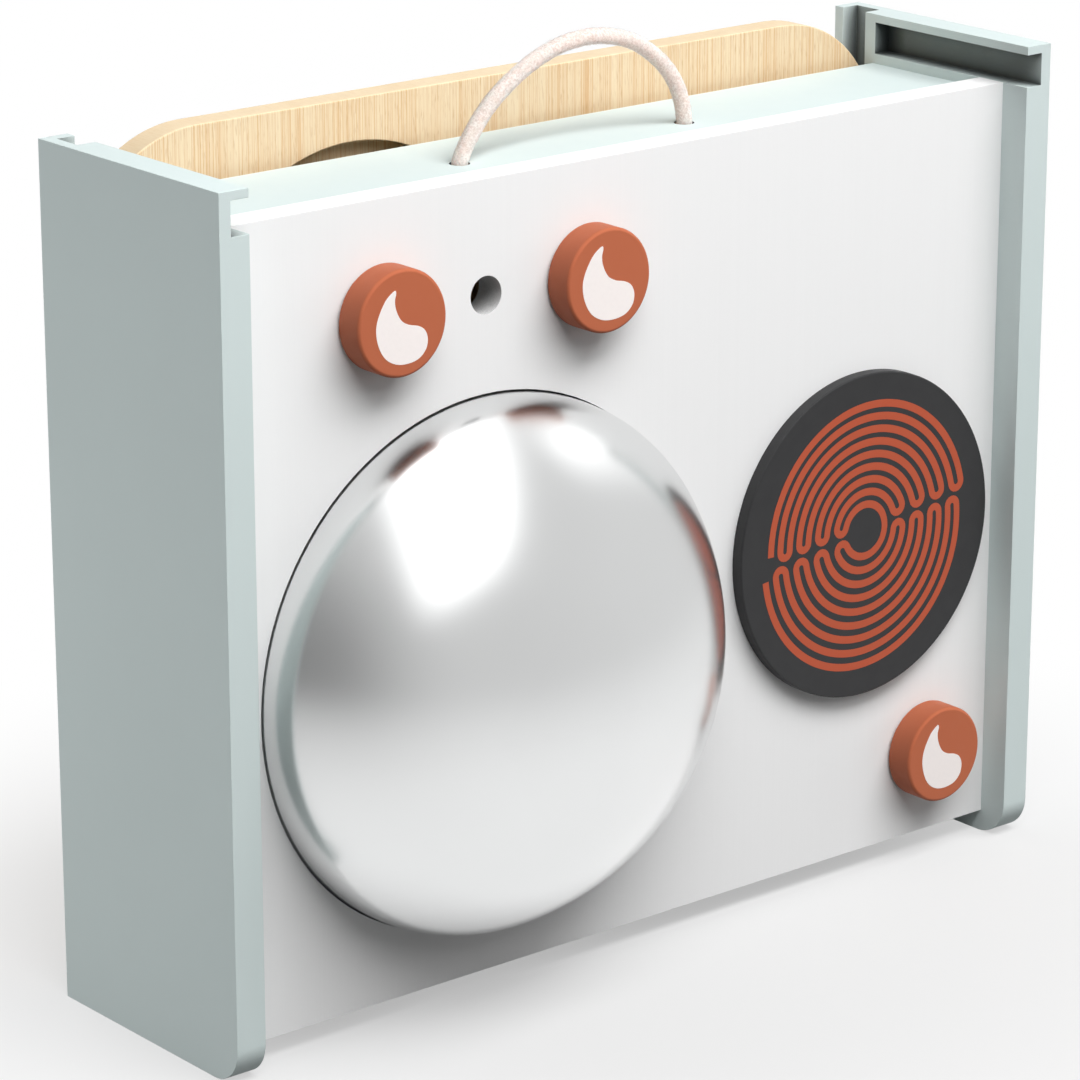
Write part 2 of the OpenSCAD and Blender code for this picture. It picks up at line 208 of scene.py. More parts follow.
class Nodes:
    """Short ways to add and join the nodes of a material or of the world."""

    def __init__(self, tree):
        self.tree = tree

    def node(self, kind, **settings):
        """Adds a node and makes its settings."""
        made = self.tree.nodes.new(kind)
        for key, value in settings.items():
            setattr(made, key, value)
        return made

    def link(self, source, target):
        self.tree.links.new(source, target)

    def give(self, value, socket):
        """Sets a socket to a plain value, or links it to another node's output."""
        if isinstance(value, (int, float, tuple)):
            socket.default_value = value
        else:
            self.link(value, socket)

    def math(self, operation, first, second):
        """A number worked out from two others."""
        made = self.node("ShaderNodeMath", operation=operation)
        self.give(first, made.inputs[0])
        self.give(second, made.inputs[1])
        return made.outputs["Value"]

    def spread(self, source, low, high, first=0.3, last=0.7, way="LINEAR"):
        """A number that goes from low to high as the source goes from first to last."""
        made = self.node("ShaderNodeMapRange", interpolation_type=way)
        self.link(source, made.inputs["Value"])
        for key, value in zip(("From Min", "From Max", "To Min", "To Max"), (first, last, low, high)):
            made.inputs[key].default_value = value
        return made.outputs["Result"]

    def blend(self, share, first, second):
        """A mix of two shaders."""
        made = self.node("ShaderNodeMixShader")
        self.give(share, made.inputs["Fac"])
        self.link(first, made.inputs[1])
        self.link(second, made.inputs[2])
        return made.outputs["Shader"]

    def levels(self, source, stops):
        """A number that follows (place, level) stops."""
        made = self.node("ShaderNodeFloatCurve")
        self.link(source, made.inputs["Value"])
        points = made.mapping.curves[0].points
        while len(points) < len(stops):
            points.new(0.5, 0.5)
        for point, stop in zip(points, stops):
            point.location = stop
        made.mapping.update()
        return made.outputs["Value"]

    def component(self, vector, axis):
        """One of the three numbers of a vector."""
        parts = self.node("ShaderNodeSeparateXYZ")
        self.link(vector, parts.inputs["Vector"])
        return parts.outputs[axis]

    def room_level(self, place):
        """Level of the mirrored room towards a place, by how far that lies to the left or right."""
        aim = self.node("ShaderNodeVectorMath", operation="NORMALIZE")
        self.link(place, aim.inputs[0])
        sideways = self.component(aim.outputs["Vector"], "X")
        return self.levels(self.spread(sideways, 0, 1, -1, 1), ROOM_LEVELS)

    def mirrored(self):
        """1 for what is seen in a mirror or through glass, 0 for light thrown on a dull surface."""
        rays = self.node("ShaderNodeLightPath").outputs
        seen = self.math("MAXIMUM", rays["Is Glossy Ray"], rays["Is Transmission Ray"])
        return self.math("MULTIPLY", seen, self.math("LESS_THAN", rays["Diffuse Depth"], 1))

    def shown(self):
        """1 for what the camera sees, straight or mirrored."""
        rays = self.node("ShaderNodeLightPath").outputs
        return self.math("MAXIMUM", rays["Is Camera Ray"], self.mirrored())


# Sockets of a Mix node that mixes colours
MIX_SHARE, MIX_FIRST, MIX_SECOND = 0, 6, 7
MIX_RESULT = 2
# Painted shade in recesses: how far off a recess's other side may lie, how fast the tone falls and what
# share of the colour is left
RECESS_REACH = 10 * MM
RECESS_POWER = 3.6
RECESS_SHADE_SHARE = 0.03
RECESS_SAMPLES = 8


class Finish(Nodes):
    """A material with a Principled shader and the textures that feed it.

    Further inputs are plain values for the shader's own sockets, such as base_color for Base Color.
    """

    def __init__(self, name, **inputs):
        self.material = bpy.data.materials.new(name)
        self.material.use_nodes = True
        super().__init__(self.material.node_tree)
        self.shader = self.tree.nodes["Principled BSDF"]
        for key, value in inputs.items():
            self.shader.inputs[key.replace("_", " ").title()].default_value = value
        self.place = self.node("ShaderNodeTexCoord").outputs["Object"]

    def feed(self, source, key):
        """Links an output to an input of the shader."""
        self.link(source, self.shader.inputs[key])

    def gleam(self, level):
        """Sets how strongly the surface reflects; 0.5 is usual and 0 is not at all."""
        self.shader.inputs["Specular IOR Level"].default_value = level

    def diffuse(self, colour):
        """A second shader beside the main one, dull and of one colour."""
        made = self.node("ShaderNodeBsdfDiffuse")
        made.inputs["Color"].default_value = colour
        return made.outputs["BSDF"]

    def scaled(self, scale, source=None):
        """Coordinates that grow by a factor along each axis, so that patches on them shrink by it."""
        made = self.node("ShaderNodeMapping")
        self.link(source or self.place, made.inputs["Vector"])
        made.inputs["Scale"].default_value = scale
        return made.outputs["Vector"]

    def noise(self, scale, detail=2, roughness=0.5, source=None):
        """Soft random patches; scale is about how many there are in a metre."""
        made = self.node("ShaderNodeTexNoise")
        self.link(source or self.place, made.inputs["Vector"])
        made.inputs["Scale"].default_value = scale
        made.inputs["Detail"].default_value = detail
        made.inputs["Roughness"].default_value = roughness
        return made.outputs["Fac"]

    def ramp(self, source, low, high, first=0.3, last=0.7):
        """A colour that goes from low to high as the source goes from first to last."""
        made = self.node("ShaderNodeValToRGB")
        self.link(source, made.inputs["Fac"])
        for element, place, colour in zip(made.color_ramp.elements, (first, last), (low, high)):
            element.position = place
            element.color = colour
        return made.outputs["Color"]

    def mix(self, share, first, second):
        """A mix of two colours."""
        made = self.node("ShaderNodeMix", data_type="RGBA")
        self.give(share, made.inputs[MIX_SHARE])
        self.give(first, made.inputs[MIX_FIRST])
        self.give(second, made.inputs[MIX_SECOND])
        return made.outputs[MIX_RESULT]

    def facing(self, axis):
        """How far the surface looks along an axis of the piece, from -1 to 1."""
        return self.component(self.node("ShaderNodeTexCoord").outputs["Normal"], axis)

    def long_grain(self):
        """1 on faces along the grain and a little on upward end-grain faces."""
        return self.spread(self.facing("Z"), 1, 0.2, 0.3, 0.8)

    def frontal(self):
        """1 on faces that look to the front, 0 on those that look aside."""
        return self.spread(self.facing("Y"), 1, 0, -0.9, -0.3)

    def recess_shaded(self, colour, dark):
        """The colour with painted shade: dark deep in the piece's own grooves and holes."""
        opening = self.node("ShaderNodeAmbientOcclusion", samples=RECESS_SAMPLES, only_local=True)
        opening.inputs["Distance"].default_value = RECESS_REACH
        return self.mix(self.math("POWER", opening.outputs["AO"], RECESS_POWER), dark, colour)

    def bump(self, height, strength, depth):
        """A fine relief; depth is how far it stands out, in metres."""
        made = self.node("ShaderNodeBump")
        made.inputs["Strength"].default_value = strength
        made.inputs["Distance"].default_value = depth
        self.link(height, made.inputs["Height"])
        self.feed(made.outputs["Normal"], "Normal")


# Finishes

MINT = srgb(208, 220, 219)
TERRACOTTA = srgb(186, 104, 73)
CHARCOAL = srgb(47, 47, 48)
COIL_RED = srgb(183, 82, 52)
DROP_WHITE = srgb(252, 244, 241)
BOARD_LINES = srgb(242, 242, 242), srgb(244, 244, 244)
BOARD_TONE = srgb(241, 242, 242)
# Dark colour of the painted shade deep in the white board's holes
BOARD_RECESS_SHADE = srgb(45, 45, 45)
MAPLE_BANDS = srgb(227, 205, 171), srgb(231, 212, 180)
MAPLE_LINE = srgb(208, 162, 110)
MAPLE_PORE = srgb(190, 145, 98)
MAPLE_DRIFT = 4 * MM
STEEL_GREY = srgb(235, 236, 236)
ZINC_BLOOM = srgb(176, 180, 184), srgb(206, 208, 208)
FELT_HAIRS = srgb(104, 104, 101), srgb(168, 168, 164)
COTTON_WOOL = srgb(216, 195, 186), srgb(247, 233, 227)
COTTON_TUFT = srgb(240, 223, 215)
# How far light sinks into the cotton, and the share of that for red, green and blue
COTTON_DEPTH = 8 * MM
COTTON_SINK = (1, 0.75, 0.7)
INK_FADE = 0.98
# Paint: strength of its reflection, roughness, how far its roughness and its tone wander
PAINT_GLEAM = 0.25
PAINT_ROUGHNESS = 0.6
PAINT_GLOSS = 0.05
PAINT_GRAIN = 0.02
HOB_GLEAM = 0.3
HOB_ROUGHNESS = 0.55
# Painted shade on the knobs: share of their colour that is left on faces that look aside
KNOB_SIDE_SHADE = 0.78


def painted(name, colour, roughness=PAINT_ROUGHNESS, gleam=PAINT_GLEAM, side=1):
    """Sprayed paint: a little uneven in tone and gloss, with a fine orange-peel relief and painted shade
    deep in grooves and holes.

    side is the share of the colour that is left on faces that look aside, as painted shade.
    """
    finish = Finish(name)
    finish.gleam(gleam)
    tone = finish.noise(9, detail=3)
    coat = finish.ramp(tone, toned(colour, 1 - PAINT_GRAIN), toned(colour, 1 + PAINT_GRAIN))
    # Painted shade: faces that look aside keep only the side share of the colour
    if side < 1:
        coat = finish.mix(finish.frontal(), toned(colour, side), coat)
    # Painted shade: the colour turns dark deep in the piece's own grooves and holes
    finish.feed(finish.recess_shaded(coat, toned(colour, RECESS_SHADE_SHARE)), "Base Color")
    gloss = finish.noise(140, detail=3)
    finish.feed(finish.spread(gloss, roughness - PAINT_GLOSS, roughness + PAINT_GLOSS), "Roughness")
    finish.bump(finish.noise(1100), strength=0.12, depth=0.05 * MM)
    return finish.material


def white_board():
    """Matt white foil with hardly visible fine upright lines, and painted shade deep in its own holes."""
    finish = Finish("white_board")
    finish.gleam(PAINT_GLEAM)
    lines = finish.noise(1, detail=4, roughness=0.7, source=finish.scaled((1500, 1500, 4)))
    tone = finish.noise(6)
    plain = finish.ramp(lines, *BOARD_LINES)
    coat = finish.mix(finish.spread(tone, 0, 0.25), plain, BOARD_TONE)
    # Painted shade: the foil turns dark deep in the board's own holes
    finish.feed(finish.recess_shaded(coat, BOARD_RECESS_SHADE), "Base Color")
    finish.feed(finish.spread(lines, 0.5, 0.6), "Roughness")
    finish.bump(lines, strength=0.03, depth=0.03 * MM)
    return finish.material


def maple():
    """Bare sanded wood: fine upright grain lines, broad pale bands and short pores."""
    finish = Finish("bare_maple")
    drift = finish.noise(1, source=finish.scaled((5, 5, 1.6)))
    bent = finish.node("ShaderNodeVectorMath", operation="ADD")
    shift = finish.node("ShaderNodeCombineXYZ")
    finish.link(finish.spread(drift, -MAPLE_DRIFT, MAPLE_DRIFT, 0, 1), shift.inputs["X"])
    finish.link(shift.outputs["Vector"], bent.inputs[0])
    finish.link(finish.place, bent.inputs[1])
    wood = bent.outputs["Vector"]
    bands = finish.noise(1, detail=3, source=finish.scaled((60, 12, 1), source=wood))
    lines = finish.noise(1, roughness=0.6, source=finish.scaled((2500, 160, 10), source=wood))
    pores = finish.noise(1, source=finish.scaled((2600, 500, 200), source=wood))
    base = finish.ramp(bands, *MAPLE_BANDS)
    strength = finish.math("MULTIPLY", finish.spread(bands, 0.85, 0.5), finish.long_grain())
    fine = finish.math("MULTIPLY", finish.spread(lines, 0, 1, 0.44, 0.66), strength)
    grained = finish.mix(fine, base, MAPLE_LINE)
    specks = finish.math("MULTIPLY", finish.spread(pores, 0, 0.5, 0.55, 0.75), finish.long_grain())
    finish.feed(finish.mix(specks, grained, MAPLE_PORE), "Base Color")
    finish.feed(finish.spread(lines, 0.5, 0.64), "Roughness")
    finish.bump(finish.math("ADD", lines, pores), strength=0.25, depth=0.05 * MM)
    return finish.material


def steel():
    """Polished sheet: a blurred mirror, hazier in some places than in others."""
    finish = Finish("polished_steel", metallic=1.0, base_color=STEEL_GREY)
    haze = finish.noise(35, detail=4)
    finish.feed(finish.spread(haze, 0.21, 0.24), "Roughness")
    return finish.material


def zinc_plate():
    """Plated screws and washers, with a cloudy bloom."""
    finish = Finish("zinc", metallic=1.0)
    bloom = finish.noise(420, detail=4)
    finish.feed(finish.ramp(bloom, *ZINC_BLOOM), "Base Color")
    finish.feed(finish.spread(bloom, 0.28, 0.45), "Roughness")
    return finish.material


def felt():
    """Pressed grey felt with short hairs."""
    finish = Finish("grey_felt", roughness=0.95)
    hair = finish.noise(2600, detail=5, roughness=0.7)
    finish.feed(finish.ramp(hair, *FELT_HAIRS), "Base Color")
    finish.bump(hair, strength=0.8, depth=0.2 * MM)
    return finish.material


def cotton():
    """Soft cotton cord, mottled and dull."""
    finish = Finish("cotton_rope", roughness=0.92, sheen_weight=0.35, sheen_roughness=0.6,
                    subsurface_weight=1.0, subsurface_radius=COTTON_SINK, subsurface_scale=COTTON_DEPTH)
    wool = finish.noise(1300, detail=4, roughness=0.7)
    tuft = finish.noise(220, detail=3)
    base = finish.ramp(wool, *COTTON_WOOL, first=0.4, last=0.6)
    finish.feed(finish.mix(finish.spread(tuft, 0, 0.3), base, COTTON_TUFT), "Base Color")
    finish.bump(wool, strength=0.6, depth=0.25 * MM)
    return finish.material


def print_ink(name, colour):
    """Screen print: flat colour with a faint mottle."""
    finish = Finish(name)
    mottle = finish.noise(700, detail=3)
    finish.feed(finish.ramp(mottle, toned(colour, INK_FADE), colour, first=0.25, last=0.6), "Base Color")
    finish.feed(finish.spread(mottle, 0.5, 0.62), "Roughness")
    return finish.material


# Boards

# Points this close are one, faces that meet flatter than FLAT are one, and edges over SHARP are rounded
WELD = 0.002 * MM
FLAT = math.radians(0.5)
SHARP = math.radians(25)
EDGE_STEPS = 3
SIDE_EDGE_R = 1.0 * MM
CROSS_EDGE_R = 0.5 * MM
WORKTOP_EDGE_R = 0.35 * MM
BACK_EDGE_R = 0.6 * MM


def softened(name, node, radius, material):
    """A copy of a CAD board with its sharp edges rounded, as sanding and paint leave them."""
    shape = bmesh.new()
    shape.from_mesh(frame["nodes"][node].data)
    bmesh.ops.remove_doubles(shape, verts=shape.verts, dist=WELD)
    bmesh.ops.dissolve_limit(shape, angle_limit=FLAT, verts=shape.verts, edges=shape.edges)
    sharp = [e for e in shape.edges if e.is_manifold and e.calc_face_angle() > SHARP]
    bmesh.ops.bevel(shape, geom=sharp, offset=radius, segments=EDGE_STEPS, profile=0.5, affect="EDGES",
                    clamp_overlap=True)
    for face in shape.faces:
        face.smooth = True
    mesh = bpy.data.meshes.new(name)
    shape.to_mesh(mesh)
    shape.free()
    body = frame["nodes"][node]["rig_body"]
    piece = add_object(name, mesh, material, body, [node])
    keep_edges_crisp(piece)


def make_boards(mint, wood):
    softened("left_side_board", "left_side_panel", SIDE_EDGE_R, mint)
    softened("right_side_board", "right_side_panel", SIDE_EDGE_R, mint)
    softened("top_board", "top_panel", CROSS_EDGE_R, mint)
    softened("bottom_board", "bottom_panel", CROSS_EDGE_R, mint)
    softened("worktop", "front_panel", WORKTOP_EDGE_R, white_board())
    softened("wooden_back", "back_board", BACK_EDGE_R, wood)


# Sink bowl

# The sheet's straight wall and rounded shoulder, its thickness, the roll of its rim and the round before it
BOWL_WALL_R = 97.8 * MM
BOWL_STRAIGHT = 3 * MM
BOWL_SHOULDER_R = 27 * MM
BOWL_SHEET = 0.8 * MM
BOWL_ROLL_R = 1.6 * MM
BOWL_ROUND = 1.0 * MM
BOWL_SEGMENTS = 192
DOME_STEPS = 44
SHOULDER_STEPS = 20
ROUND_STEPS = 5
ROLL_STEPS = 24
# Angle in degrees at which the rolled rim ends
ROLL_END = -210


def bowl_profile():
    """Outline of the sheet as (radius, height over the panel), outside from apex to rim and back inside."""
    apex, rim_back = reach("sink_bowl")
    rim_r = half_width("sink_bowl")
    rim_front = rim_back + 2 * BOWL_ROLL_R
    shoulder = (BOWL_WALL_R - BOWL_SHOULDER_R, BOWL_STRAIGHT)
    drop = BOWL_STRAIGHT - apex
    dome_r = (BOWL_SHOULDER_R ** 2 - shoulder[0] ** 2 - drop ** 2) / (2 * (drop + BOWL_SHOULDER_R))
    dome = (0, apex - dome_r)
    turn = math.degrees(math.atan2(shoulder[1] - dome[1], shoulder[0]))

    def surface(inset):
        over = arc(dome, dome_r - inset, 90, turn, DOME_STEPS)
        return over + arc(shoulder, BOWL_SHOULDER_R - inset, turn, 0, SHOULDER_STEPS)[1:]

    corner = (BOWL_WALL_R + BOWL_ROUND, rim_front + BOWL_ROUND)
    roll = (rim_r - BOWL_ROLL_R, rim_front - BOWL_ROLL_R)
    edge = arc(corner, BOWL_ROUND, 180, 270, ROUND_STEPS) + arc(roll, BOWL_ROLL_R, 90, ROLL_END, ROLL_STEPS)
    inner = (BOWL_WALL_R - BOWL_SHEET + BOWL_ROUND, rim_front - BOWL_SHEET + BOWL_ROUND)
    back = arc(inner, BOWL_ROUND, 270, 180, ROUND_STEPS)
    outline = [*surface(0), *edge, *back, *surface(BOWL_SHEET)[::-1]]
    outline[0] = (0, outline[0][1])
    outline[-1] = (0, outline[-1][1])
    return outline


def make_bowl():
    mesh = lathe("steel_bowl", bowl_profile(), BOWL_SEGMENTS, on_panel("sink_bowl"))
    add_object("steel_bowl", mesh, steel(), "sink_bowl", ["sink_bowl"])


# Hob plate and its printed coil

HOB_EDGE_R = 0.7 * MM
HOB_SEGMENTS = 160
RIM_STEPS = 8
FOOT_STEPS = 4
# How far a print stands out of its face, and how far it reaches in
PRINT_T = 0.06 * MM
PRINT_SINK = 0.02 * MM
# The coil: two halves of arcs joined by round turns, which end at a distance from the tilted middle line
COIL_RINGS = 9
COIL_INNER_R = 10.1 * MM
COIL_PITCH = 4.87 * MM
COIL_STROKE = 2.9 * MM
COIL_END = 4.4 * MM
COIL_TILT = math.radians(6.7)
COIL_CENTRE = Vector((-0.85, 2.3)) * MM
# How far the outermost arc of each half lies off the coil's centre
COIL_DRIFT = {1: Vector((1.75, -0.7)) * MM, -1: Vector((-1.15, -3.8)) * MM}
COIL_STEP = 1.2 * MM
TURN_STEPS = 9


def disc_profile(node, edge, bore=0, bore_depth=0):
    """Outline of a disc-shaped node: rounded edges, the back one by half as much, and a blind rear bore."""
    radius = half_width(node)
    front, back = reach(node)
    rim = arc((radius - edge, front - edge), edge, 90, 0, RIM_STEPS)
    foot = arc((radius - edge / 2, back + edge / 2), edge / 2, 0, -90, FOOT_STEPS)
    hole = [(bore, back), (bore, back + bore_depth), (0, back + bore_depth)] if bore else [(0, back)]
    return [(0, front), (radius / 2, front), *rim, *foot, *hole]


def make_hob():
    profile = disc_profile("hob_plate", HOB_EDGE_R)
    mesh = lathe("hob_disc", profile, HOB_SEGMENTS, on_panel("hob_plate"))
    paint = painted("charcoal_paint", CHARCOAL, HOB_ROUGHNESS, HOB_GLEAM)
    piece = add_object("hob_disc", mesh, paint, "case", ["hob_plate"])
    keep_edges_crisp(piece)


def coil_radius(ring):
    """Radius of an arc, counted from the outermost."""
    return COIL_INNER_R + COIL_PITCH * (COIL_RINGS - 1 - ring)


def coil_shift(ring, half):
    """How far an arc of the upper (1) or lower (-1) half lies off the coil's centre."""
    return COIL_DRIFT[half] * (1 - ring / (COIL_RINGS - 1))


def coil_end_angle(first, second, half):
    """Angle above the middle line at which two neighbouring arcs stop."""
    radius = (coil_radius(first) + coil_radius(second)) / 2
    across = Vector((-math.sin(COIL_TILT), math.cos(COIL_TILT)))
    rise = (coil_shift(first, half) + coil_shift(second, half)).dot(across) / 2
    return math.asin((COIL_END - half * rise) / radius)


def coil_point(ring, half, turn):
    """A point on an arc, its angle measured from the right along the middle line towards its own half."""
    outward = Vector((math.cos(half * turn + COIL_TILT), math.sin(half * turn + COIL_TILT)))
    return COIL_CENTRE + coil_shift(ring, half) + coil_radius(ring) * outward


def coil_half(half):
    """One half of the coil, from its outer end at the left to the left end of the innermost arc."""
    path = []
    for ring in range(COIL_RINGS - 1):
        right_pair = (ring, ring + 1) if ring % 2 == 0 else (ring - 1, ring)
        left_pair = (ring, ring + 1) if ring % 2 == 1 else (max(ring - 1, 0), ring)
        right = coil_end_angle(*right_pair, half)
        left = math.pi - coil_end_angle(*left_pair, half)
        first, last = (left, right) if ring % 2 == 0 else (right, left)
        steps = round(abs(last - first) * coil_radius(ring) / COIL_STEP)
        path += [coil_point(ring, half, first + (last - first) * i / steps) for i in range(steps + 1)]
        start, end = path[-1], coil_point(ring + 1, half, last)
        path += round_turn(start, end, path[-2])
    return path


def round_turn(start, end, before):
    """Points of the half circle from start to end that goes on the way the path came."""
    centre = (start + end) / 2
    spoke = start - centre
    ahead = Vector((-spoke.y, spoke.x))
    if ahead.dot(start - before) < 0:
        ahead = -ahead
    turns = [math.pi * i / TURN_STEPS for i in range(1, TURN_STEPS)]
    return [centre + spoke * math.cos(t) + ahead * math.sin(t) for t in turns]


def coil_ring():
    """The innermost arc, from the upper half's left end round the right to the lower half's left end."""
    ring = COIL_RINGS - 1
    first = math.pi - coil_end_angle(ring - 1, ring, 1)
    last = math.pi - coil_end_angle(ring - 1, ring, -1)
    steps = round((first + last) * coil_radius(ring) / COIL_STEP)
    turns = [first - (first + last) * i / steps for i in range(steps + 1)]
    return [coil_point(ring, 1, t) for t in turns]


def ribbon(name, path, width, place, face):
    """A flat printed line along a path, as a thin closed plate on a face at that height."""
    points = []
    for i, point in enumerate(path):
        along = (path[min(i + 1, len(path) - 1)] - path[max(i - 1, 0)]).normalized()
        side = Vector((-along.y, along.x)) * width / 2
        for height in (face - PRINT_SINK, face + PRINT_T):
            points += [place @ Vector((*(point + side), height)), place @ Vector((*(point - side), height))]
    faces = [[0, 1, 3, 2]]
    for i in range(len(path) - 1):
        a, b = 4 * i, 4 * i + 4
        faces += [[a + 2, a + 3, b + 3, b + 2], [a + 1, a, b, b + 1]]
        faces += [[a, a + 2, b + 2, b], [a + 3, a + 1, b + 1, b + 3]]
    last = 4 * (len(path) - 1)
    faces.append([last + 1, last, last + 2, last + 3])
    return mesh_from(name, points, faces, smooth=False)


def make_coil():
    path = coil_half(1) + coil_ring() + coil_half(-1)[::-1]
    face, _ = reach("hob_plate")
    mesh = ribbon("hob_coil_print", path, COIL_STROKE, on_panel("hob_plate"), face)
    add_object("hob_coil_print", mesh, print_ink("coil_ink", COIL_RED), "case")


# Knobs and their printed drops

KNOB_EDGE_R = 1.3 * MM
KNOB_SEGMENTS = 96
# The blind bore that takes the spindle
BORE_R = 5.05 * MM
BORE_DEPTH = 6 * MM
# Outline of the drop round the middle of its box, tip first and then down its left side, in millimetres
DROP = [
    (-3.3, 13.45), (-7.2, 10.6), (-10.6, 5.1), (-11.7, 0.4), (-10.75, -4.9), (-7.8, -9.85),
    (-3.1, -12.7), (2.2, -13.4), (7.5, -12.4), (10.9, -9.5), (11.75, -5.7), (10.4, -2.45),
    (7.5, -0.65), (3.1, 0.5), (-0.3, 2.55), (-2.5, 6.5), (-3.05, 9.9), (-2.45, 12.5)
]
DROP_STEPS = 6
# Share of that width and height, and the place of its middle on each knob in millimetres
DROP_FIT = {
    "left_tap": ((0.93, 0.97), (-0.55, -1.2)),
    "right_tap": ((1.0, 1.0), (-0.45, -0.7)),
    "hob_knob": ((0.90, 0.985), (-1.05, -0.3)),
}


def spline(a, b, c, d, t):
    """A point between b and c on the smooth curve through four points."""
    bend = 2 * a - 5 * b + 4 * c - d
    swing = 3 * b - a - 3 * c + d
    return 0.5 * (2 * b + (c - a) * t + bend * t ** 2 + swing * t ** 3)


def smooth_loop(corners, steps):
    """A closed smooth curve through given corners."""
    count = len(corners)
    curve = []
    for i in range(count):
        a, b, c, d = (Vector(corners[(i + k) % count]) for k in (-1, 0, 1, 2))
        curve += [spline(a, b, c, d, s / steps) for s in range(steps)]
    return curve


def plate(name, outline, place, face):
    """A thin closed plate of that outline on a face at that height."""
    count = len(outline)
    points = [place @ Vector((*p, h)) for h in (face - PRINT_SINK, face + PRINT_T) for p in outline]
    faces = [list(range(count))[::-1], list(range(count, 2 * count))]
    faces += [[i, (i + 1) % count, count + (i + 1) % count, count + i] for i in range(count)]
    return mesh_from(name, points, faces, smooth=False)


def drop_outline(body):
    """Outline of the drop on a knob, round the knob's middle."""
    (wide, tall), (right, up) = DROP_FIT[body]
    loop = smooth_loop(DROP, DROP_STEPS)
    return [Vector(((p.x * wide + right) * MM, (p.y * tall + up) * MM)) for p in loop]


def make_knobs():
    # The knobs' sides get painted shade, darker than their faces
    paint = painted("terracotta_paint", TERRACOTTA, side=KNOB_SIDE_SHADE)
    ink = print_ink("drop_ink", DROP_WHITE)
    for body, node in KNOBS.items():
        place = on_panel(node)
        profile = disc_profile(node, KNOB_EDGE_R, BORE_R, BORE_DEPTH)
        mesh = lathe(node + "_turned", profile, KNOB_SEGMENTS, place)
        knob = add_object(node + "_turned", mesh, paint, body, [node])
        keep_edges_crisp(knob)
        face, _ = reach(node)
        drop = plate(node + "_drop_print", drop_outline(body), place, face)
        add_object(node + "_drop_print", drop, ink, body)


# Rope handle and its stopper knots

ROPE_R = 3 * MM
ROPE_SIDES = 40
ROPE_STEP = 0.45 * MM
# Mean share of a cord's radius, and the share and closeness of its lumps and of its tufts
CORD_MEAN = 0.965
CORD_LUMPS = (0.035, 1.1)
CORD_TUFTS = (0.03, 4.3)
ROPE_HAIRS = 4200
HAIR_R = 0.022 * MM
HAIR_SIDES = 3
HAIR_STEPS = 4
# Least and most length of hairs in millimetres, and how far they lean off the rope's line in radians
HAIR_LENGTH = (0.8, 2.6)
HAIR_LEAN = 0.7
# How far hairs stand off in millimetres at most, and how many times that, drawn at random
HAIR_LIFT = 0.22
HAIR_LIFT_TIMES = (1, 1, 1, 2)
# Share of the rope's radius at which hairs start, how far their lift turns, and how far they drift along
HAIR_ROOT = 0.97
HAIR_ARCH = 2.4
HAIR_DRIFT = 0.05
# Steps of the rope that stay bald at each end
HAIR_MARGIN = 5
KNOT_R = 2.4 * MM
KNOT_LOOP = 1.5 * MM
KNOT_RISE = 1.6 * MM
KNOT_STEPS = 90
KNOT_SIDES = 24
TAIL_R = ROPE_R * 0.95
TAIL_STEPS = 40
# The handle's arch as x and height over the top panel in millimetres, as the part's source has it
ROPE_ARCH = [
    (-52, -6), (-52, -0.5), (-50, 4.5), (-46.8, 9.5), (-43, 14.3), (-38.5, 19), (-33.3, 23.2),
    (-27.3, 27.2), (-20.6, 30.9), (-13.2, 34), (-5, 36.3), (3.8, 37.3), (12.6, 36.9), (21, 35.2),
    (28.8, 32.2), (35.6, 28), (41.2, 23.3), (45.8, 18), (49, 12.4), (51.2, 6.3), (52, 0.5), (52, -6)
]


def rope_path():
    """The rope's centreline between its two knots, as close even points."""
    y = middle("rope_handle").y
    knot_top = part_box("rope_knots")[1].z
    corners = [Vector((x * MM, y, TOP_FACE + z * MM)) for x, z in ROPE_ARCH]
    corners = [Vector((corners[0].x, y, knot_top)), *corners, Vector((corners[-1].x, y, knot_top))]
    padded = [2 * corners[0] - corners[1], *corners, 2 * corners[-1] - corners[-2]]
    path = [corners[0]]
    for a, b, c, d in zip(padded, padded[1:], padded[2:], padded[3:]):
        steps = max(round((c - b).length / ROPE_STEP), 1)
        path += [spline(a, b, c, d, s / steps) for s in range(1, steps + 1)]
    return path


def cross_frames(path):
    """Each point of a path with its direction and two directions across it, carried along without twist."""
    across = Vector((0, 1, 0))
    frames = []
    for i, point in enumerate(path):
        along = (path[min(i + 1, len(path) - 1)] - path[max(i - 1, 0)]).normalized()
        across = (across - along * across.dot(along)).normalized()
        frames.append((point, along, across, along.cross(across)))
    return frames


def tube(path, radius_at, sides):
    """Points and faces of a closed tube; radius_at gives its radius at a step and an angle."""
    points = []
    for i, (point, _, across, side) in enumerate(cross_frames(path)):
        for j in range(sides):
            turn = 2 * math.pi * j / sides
            points.append(point + radius_at(i, turn) * (math.cos(turn) * across + math.sin(turn) * side))
    faces = []
    for i in range(len(path) - 1):
        for j in range(sides):
            k = (j + 1) % sides
            faces.append([i * sides + j, i * sides + k, (i + 1) * sides + k, (i + 1) * sides + j])
    faces.append(list(range(sides))[::-1])
    faces.append([len(points) - sides + j for j in range(sides)])
    return points, faces


def joined(name, shapes):
    """One mesh of several shapes, each given as points and faces."""
    points = []
    faces = []
    for shape_points, shape_faces in shapes:
        first = len(points)
        points += shape_points
        faces += [[first + i for i in face] for face in shape_faces]
    return mesh_from(name, points, faces)


def woolly(radius):
    """Radius of a soft cord: lumps along it and small tufts round it."""
    def radius_at(i, turn):
        spot = Vector((math.cos(turn), math.sin(turn), i * ROPE_STEP / radius))
        lumps, tufts = (size * noise.noise(spot * near) for size, near in (CORD_LUMPS, CORD_TUFTS))
        return radius * (CORD_MEAN + lumps + tufts)
    return radius_at


